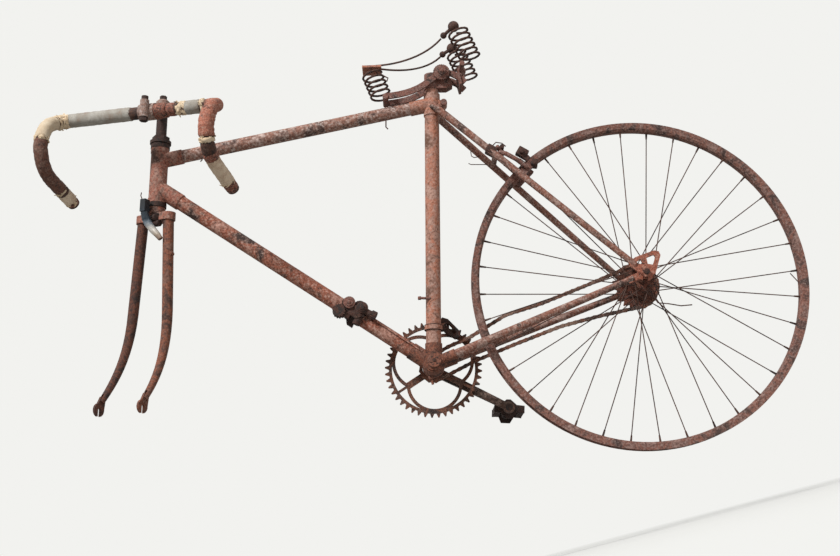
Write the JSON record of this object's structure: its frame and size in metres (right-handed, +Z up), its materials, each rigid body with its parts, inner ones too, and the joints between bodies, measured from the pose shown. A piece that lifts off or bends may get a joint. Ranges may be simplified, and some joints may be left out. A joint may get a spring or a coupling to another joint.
{
  "type": "rusty derailleur bicycle without a front wheel",
  "caption": "Old rusty drop-bar bicycle frame with turned fork, bare rear wheel, single crank and pedal, loose chain and sprung saddle skeleton",
  "frame": {"origin": "the saddle clamp's axis, in the frame's middle plane", "axes": "+X to the rear along the level axle line, +Y to the drive side, +Z up"},
  "size_m": [1.3692, 0.3454, 0.92],
  "materials": {
    "black_paint": "weathered black",
    "old_tape": "dirty pale bar tape",
    "rust": "dull red-brown rust over old paint",
    "rust_bright": "orange-brown rust",
    "rust_dark": "dark brown rust"
  },
  "bodies": {
    "frame": {"head_tube": "rust", "top_tube": "rust", "down_tube": "rust", "seat_tube": "rust_bright", "bottom_bracket_shell": "rust", "bracket_cup_left": "rust_dark", "bracket_cup_right": "rust_dark", "chain_stay_left": "rust", "chain_stay_right": "rust", "chain_stay_bridge": "rust", "seat_stay_left": "rust", "seat_stay_right": "rust", "seat_stay_bridge": "rust", "dropout_left": "rust_bright", "dropout_right": "rust_bright", "headset_cups": "rust_dark", "seat_bolt": "rust_dark", "seat_post": "rust_bright", "saddle_clamp": "rust", "saddle_lower_bar": "rust", "saddle_nose_plate": "rust_bright", "saddle_front_coil": "rust_dark", "saddle_rear_coils": "rust_dark", "saddle_top_wires": "rust_dark", "saddle_knobs": "rust_dark", "shift_levers": "rust_dark", "front_derailleur": "rust_dark", "rear_brake": "rust_dark", "rear_axle": "rust_dark", "freewheel": "rust_dark", "chain": "rust_dark"},
    "steering": {"fork_crown": "rust", "fork_blade_left": "rust", "fork_blade_right": "rust", "fork_end_left": "rust_bright", "fork_end_right": "rust_bright", "headset_nut": "rust_dark", "front_brake": "black_paint", "stem": "rust", "stem_bolts": "rust_dark", "handlebar": "rust", "bar_tape_left": "old_tape", "bar_tape_right": "old_tape"},
    "rear_wheel": {"rim": "rust", "spokes": "rust_dark", "rear_hub": "rust_dark"},
    "cranks": {"spindle": "rust_dark", "chainring": "rust", "crank_arm": "rust"},
    "pedal": {"pedal": "rust_dark"}
  },
  "joints": [
    {"name": "steering_turn", "type": "hinge", "parent": "frame", "child": "steering", "pos_m": [-0.60091, 0, -0.12087], "axis": [0.2504, 0, 0.9681], "range_deg": [-153, 27]},
    {"name": "rear_wheel_spin", "type": "hinge", "parent": "frame", "child": "rear_wheel", "pos_m": [0.25709, 0, -0.50282], "axis": [0, 1, 0], "continuous": true},
    {"name": "crank_spin", "type": "hinge", "parent": "frame", "child": "cranks", "pos_m": [-0.16191, 0, -0.56082], "axis": [0, 1, 0], "continuous": true},
    {"name": "pedal_spin", "type": "hinge", "parent": "cranks", "child": "pedal", "pos_m": [-0.04061, 0.094, -0.66516], "axis": [0, 1, 0], "continuous": true}
  ]
}
